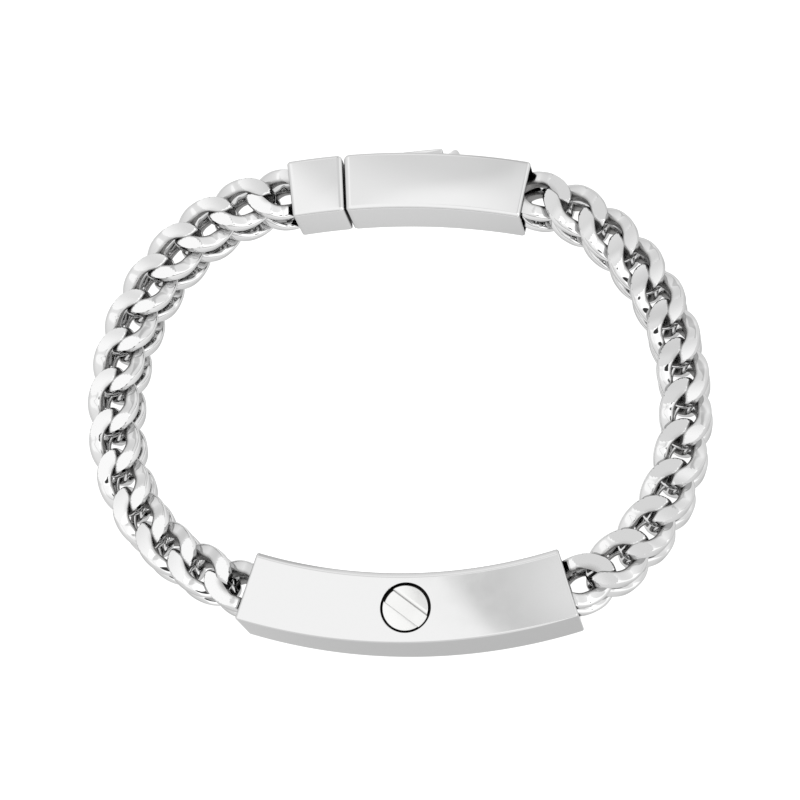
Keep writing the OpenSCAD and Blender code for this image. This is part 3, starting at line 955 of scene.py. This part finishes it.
# Grey cards of the tent, each a product of steps that says how much it dims
CARDS = (
    ((1, 0, 0, -0.12, -0.02, 0, 0.3), (0, 1, 0, 0.13, 0.24, 0, 1)),
    (
        (1, 1, 0, 0.12, 0.28, 0, 0.27), (-0.6, 1, -0.102, 0.28, 0.33, 0, 1),
        (0, 1, 0, 0.42, 0.55, 1, 0), (1, 0, 0, -0.08, -0.02, 1, 0),
    ),
    (
        (1, 0.28, -0.0574, -0.110, -0.100, 0, 1), (1, 0.28, -0.0574, -0.098, -0.055, 0.36, 0),
        (0, 1, 0, 0.265, 0.295, 1, 0),
    ),
)
STEP_INPUTS = ("From Min", "From Max", "To Min", "To Max")
# Slopes are worked out at no less height than this
LEAST_HEIGHT = 0.05
# The tent's dark mouth: its direction, then the cosines and the levels of its step
DARK_MOUTH = (0.443, -0.428, 0.788)
MOUTH_STEP = (0.983, 0.993, 1.0, 0.03)
# The floor: half its side, and where its brighter middle starts to fall off and ends, in metres
FLOOR_HALF = 1.5
GLOW_FALL = (0.022, 0.034)
# How much brighter the floor glows within the bracelet
MIDDLE_GLOW = 1.27
# The camera's turn, one row for each of the world's axes, and its lens and sensor in mm
CAMERA_TURN = (
    (0.99142198, 0.03446053, 0.12607512),
    (0.0, 0.96461527, -0.26366151),
    (-0.13069991, 0.26139981, 0.95634077),
)
LENS = 135.0
SENSOR = 36.0


def sky_step(tree, slopes, x_share, y_share, added, *step):
    """A smooth step over a mix of the two slopes, which makes one soft edge in the sky."""
    for slope, share in zip(slopes, (x_share, y_share)):
        terms = {0: slope, 1: share, 2: added}
        added = add_node(tree, "Math", terms, operation="MULTIPLY_ADD").outputs[0]
    values = {"Value": added, **dict(zip(STEP_INPUTS, step))}
    return add_node(tree, "MapRange", values, interpolation_type="SMOOTHSTEP").outputs["Result"]


def studio_world(settings):
    """A white tent, with a small dark mouth, grey cards over its right and back, and a bright side.

    The brightness is a ramp over the height above the horizon, times the bright side's step,
    times what each card leaves, times a smooth step over the cosine to the mouth's direction.
    """
    world = bpy.data.worlds.new("white_studio")
    world.use_nodes = True
    tree = world.node_tree
    place = add_node(tree, "TexCoord").outputs["Generated"]
    split = add_node(tree, "SeparateXYZ", {"Vector": place}).outputs
    ramp = add_node(tree, "ValToRGB", {"Fac": split["Z"]})
    stops = ramp.color_ramp.elements
    brightest = max(value for _, value in SKY)
    while len(stops) < len(SKY):
        stops.new(0.5)
    for stop, (height, value) in zip(stops, SKY):
        stop.position = height
        stop.color = (value / brightest,) * 3 + (1.0,)
    high = add_node(tree, "Math", {0: split["Z"], 1: LEAST_HEIGHT}, operation="MAXIMUM").outputs[0]
    slopes = [
        add_node(tree, "Math", {0: split[axis], 1: high}, operation="DIVIDE").outputs[0]
        for axis in "XY"
    ]
    axes = {0: place, 1: Vector(DARK_MOUTH).normalized()}
    facing = add_node(tree, "VectorMath", axes, operation="DOT_PRODUCT")
    values = {"Value": facing.outputs["Value"], **dict(zip(STEP_INPUTS, MOUTH_STEP))}
    mouth = add_node(tree, "MapRange", values, interpolation_type="SMOOTHSTEP")
    factors = [sky_step(tree, slopes, *BRIGHT_SIDE)]
    for card in CARDS:
        dims = -1.0
        for step in card:
            shares = {0: dims, 1: sky_step(tree, slopes, *step)}
            dims = add_node(tree, "Math", shares, operation="MULTIPLY").outputs[0]
        left = add_node(tree, "Math", {0: dims, 1: 1.0}, operation="ADD")
        factors.append(left.outputs[0])
    colour = ramp.outputs["Color"]
    for factor in factors + [mouth.outputs["Result"]]:
        scaled = {0: colour, "Scale": factor}
        colour = add_node(tree, "VectorMath", scaled, operation="SCALE").outputs[0]
    background = tree.nodes["Background"]
    tree.links.new(colour, background.inputs["Color"])
    background.inputs["Strength"].default_value = brightest * settings.light
    return world


# Settings

def length_property(name, about, millimetres):
    """A length setting in metres, from its default in mm."""
    return FloatProperty(
        name=name, description=about, default=millimetres * MM, min=0.0, precision=5,
        subtype="DISTANCE", unit="LENGTH",
    )


def colour_property(name, about, hex_colour):
    """A colour setting, from its default as sRGB hex."""
    return FloatVectorProperty(
        name=name, description=about, default=linear(hex_colour)[:3], min=0.0, max=1.0,
        subtype="COLOR",
    )


class BraceletForms(bpy.types.PropertyGroup):
    """Edges and sections that the polished surfaces add to the CAD sizes"""
    bar_edge: length_property("Bar edge", "Radius of the bar's long edges", 0.25)
    bevel_width: length_property("Bevel width", "Width of the bar's bevel, inner top edge", 0.75)
    bevel_drop: length_property("Bevel drop", "Height of that bevel", 0.34)
    end_edge: length_property("End edge", "Radius round the bar's two ends", 0.3)
    bore_edge: length_property("Counterbore edge", "Radius round the screw's counterbore", 0.06)
    screw_edge: length_property("Screw edge", "Radius round the screw's head", 0.1)
    screw_dish: length_property("Screw dish", "Fall of the screw's head to its rim", 0.03)
    slot_edge: length_property("Slot edge", "Width of the slot's worn edges", 0.12)
    clasp_edge: length_property("Clasp edge", "Radius of the clasp's edges", 0.3)
    roll_width: length_property("Rolled edge", "Width of the clasp's inner top edge", 0.5)
    gap_corner: length_property("Gap corner", "Radius of the outer corners at the gap", 0.7)
    end_corner: length_property("End corner", "Radius of the outer corners at the ends", 0.45)
    lever_edge: length_property("Lever edge", "Radius of the lever's edges", 0.15)
    crown: length_property("Crown", "Rise of the buffed top faces at their middle", 0.05)
    wire_width: length_property("Wire width", "Width of the links' wire", 1.9)
    wire_thickness: length_property("Wire thickness", "Thickness of the links' wire", 1.75)
    wire_square: FloatProperty(
        name="Wire squareness", description="Power of the wire's oval section, 2 for an ellipse",
        default=3.6, min=2.0, max=8.0,
    )
    link_crown: FloatProperty(
        name="Link crown", description="Fall of the links' ground faces, per mm squared of length",
        default=0.009, min=0.0, max=0.1, precision=4,
    )
    link_roll: FloatProperty(
        name="Link roll", description="Lean of each loop about its long axis",
        default=math.radians(-7), subtype="ANGLE", unit="ROTATION",
    )
    # painted shade: how dark the links' inner sides are painted, standing in for the shade between
    # the links
    painted_shade_share: FloatProperty(
        name="Chain residue", description="Share of dark residue on the links' inner sides",
        default=0.75, min=0.0, max=1.0,
    )


class BraceletSteel(bpy.types.PropertyGroup):
    """Colours of the three polished finishes"""
    buffed: colour_property("Buffed steel", "Colour of the bar and the clasp", "#BEBEBE")
    tumbled: colour_property("Tumbled steel", "Colour of the chain", "#C4C4C4")
    faced: colour_property("Faced steel", "Colour of the screw", "#C6C6C5")


class BraceletStage(bpy.types.PropertyGroup):
    """The floor, the light and the camera"""
    floor: colour_property("Floor", "Colour of the backlit floor", "#5E5E5E")
    glow: FloatProperty(
        name="Glow", description="Brightness of the floor's own light", default=1.03, min=0.0
    )
    light: FloatProperty(
        name="Light", description="Brightness of the white studio", default=1.0, min=0.0
    )
    camera: FloatVectorProperty(
        name="Camera", description="Place of the camera", default=(0.049446, -0.102869, 0.376633),
        subtype="TRANSLATION", unit="LENGTH",
    )


# Operators

def opal_material(settings):
    """Backlit opal acrylic: an even white glow, brighter in a disc round the origin."""
    material = bpy.data.materials.new("backlit_opal_acrylic")
    material.use_nodes = True
    tree = material.node_tree
    shader = tree.nodes["Principled BSDF"]
    looks = {
        "Base Color": (*settings.floor, 1), "Roughness": 0.9, "Specular IOR Level": 0.1,
        "Emission Color": (1, 1, 1, 1),
    }
    for key, value in looks.items():
        shader.inputs[key].default_value = value
    place = add_node(tree, "TexCoord").outputs["Object"]
    away = add_node(tree, "VectorMath", {0: place}, operation="LENGTH")
    step = (*GLOW_FALL, settings.glow * MIDDLE_GLOW, settings.glow)
    values = {"Value": away.outputs["Value"], **dict(zip(STEP_INPUTS, step))}
    glow = add_node(tree, "MapRange", values, interpolation_type="SMOOTHSTEP")
    tree.links.new(glow.outputs["Result"], shader.inputs["Emission Strength"])
    return material


class BRACELET_OT_stage(bpy.types.Operator):
    """Adds the backlit floor, the studio's light and the camera"""
    bl_idname = "bracelet.stage"
    bl_label = "Add Stage"

    def execute(self, context):
        scene = context.scene
        settings = scene.bracelet_stage
        mesh = bpy.data.meshes.new("paper_floor")
        signs = ((-1, -1), (1, -1), (1, 1), (-1, 1))
        corners = [(x * FLOOR_HALF, y * FLOOR_HALF, 0) for x, y in signs]
        mesh.from_pydata(corners, [], [(0, 1, 2, 3)])
        mesh.materials.append(opal_material(settings))
        floor = bpy.data.objects.new("paper_floor", mesh)
        scene.collection.objects.link(floor)
        scene.world = studio_world(settings)
        scene.view_settings.view_transform = "Standard"
        camera = bpy.data.cameras.new("studio_camera")
        camera.sensor_width, camera.lens = SENSOR, LENS
        holder = bpy.data.objects.new("studio_camera", camera)
        scene.collection.objects.link(holder)
        rows = [(*row, place) for row, place in zip(CAMERA_TURN, settings.camera)]
        holder.matrix_world = Matrix(rows + [(0, 0, 0, 1)])
        scene.camera = holder
        return {"FINISHED"}


class BRACELET_OT_bar(bpy.types.Operator):
    """Adds the curved bar and its slotted screw"""
    bl_idname = "bracelet.bar"
    bl_label = "Add Bar"

    def execute(self, context):
        form, steel = context.scene.bracelet_forms, context.scene.bracelet_steel
        buffed, faced = get_material("buffed", steel), get_material("faced", steel)
        bar, screw = bar_sheets(form), screw_sheets(form)
        make_piece("buffed_bar", bar, buffed, "bracelet", ["id_bar"], bar_painted_shade)
        make_piece("slotted_screw", screw, faced, "bracelet", ["bar_screw"], screw_painted_shade)
        return {"FINISHED"}


class BRACELET_OT_clasp(bpy.types.Operator):
    """Adds the clasp's block, body, flip lever and pin"""
    bl_idname = "bracelet.clasp"
    bl_label = "Add Clasp"

    def execute(self, context):
        form, steel = context.scene.bracelet_forms, context.scene.bracelet_steel
        buffed = get_material("buffed", steel)
        block, body = block_sheets(form), body_sheets(form)
        make_piece("buffed_block", block, buffed, "bracelet", ["clasp_block"], clasp_painted_shade)
        make_piece("buffed_clasp_body", body, buffed, "bracelet", ["clasp_body"], clasp_painted_shade)
        make_piece("buffed_lever", lever_sheets(form), buffed, "lever", ["clasp_lever"])
        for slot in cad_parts["lever_pin"].material_slots:
            slot.material = buffed
        return {"FINISHED"}


class BRACELET_OT_chain(bpy.types.Operator):
    """Adds both runs of the double-deck curb chain, one object a link"""
    bl_idname = "bracelet.chain"
    bl_label = "Add Chain"

    def execute(self, context):
        form, steel = context.scene.bracelet_forms, context.scene.bracelet_steel
        tumbled = get_material("tumbled", steel)
        for side, count in COUNTS.items():
            for index in range(count):
                make_link(form, tumbled, side, index)
        return {"FINISHED"}


class BRACELET_PT_panel(bpy.types.Panel):
    """Lists the bracelet's settings and its building steps"""
    bl_label = "Id Bracelet"
    bl_idname = "BRACELET_PT_panel"
    bl_space_type = "VIEW_3D"
    bl_region_type = "UI"
    bl_category = "Bracelet"

    def draw(self, context):
        for group in ("bracelet_forms", "bracelet_steel", "bracelet_stage"):
            settings = getattr(context.scene, group)
            for key in settings.__annotations__:
                self.layout.prop(settings, key)
        for operator in OPERATORS:
            self.layout.operator(operator.bl_idname)


OPERATORS = (BRACELET_OT_stage, BRACELET_OT_bar, BRACELET_OT_clasp, BRACELET_OT_chain)
GROUPS = {
    "bracelet_forms": BraceletForms,
    "bracelet_steel": BraceletSteel,
    "bracelet_stage": BraceletStage,
}


def register():
    for cls in (*GROUPS.values(), *OPERATORS, BRACELET_PT_panel):
        bpy.utils.register_class(cls)
    for name, cls in GROUPS.items():
        setattr(bpy.types.Scene, name, PointerProperty(type=cls))


def unregister():
    for name in GROUPS:
        delattr(bpy.types.Scene, name)
    for cls in (BRACELET_PT_panel, *reversed(OPERATORS), *reversed(GROUPS.values())):
        bpy.utils.unregister_class(cls)


def main():
    register()
    bpy.ops.bracelet.stage()
    bpy.ops.bracelet.bar()
    bpy.ops.bracelet.clasp()
    bpy.ops.bracelet.chain()


if __name__ == "__main__":
    main()
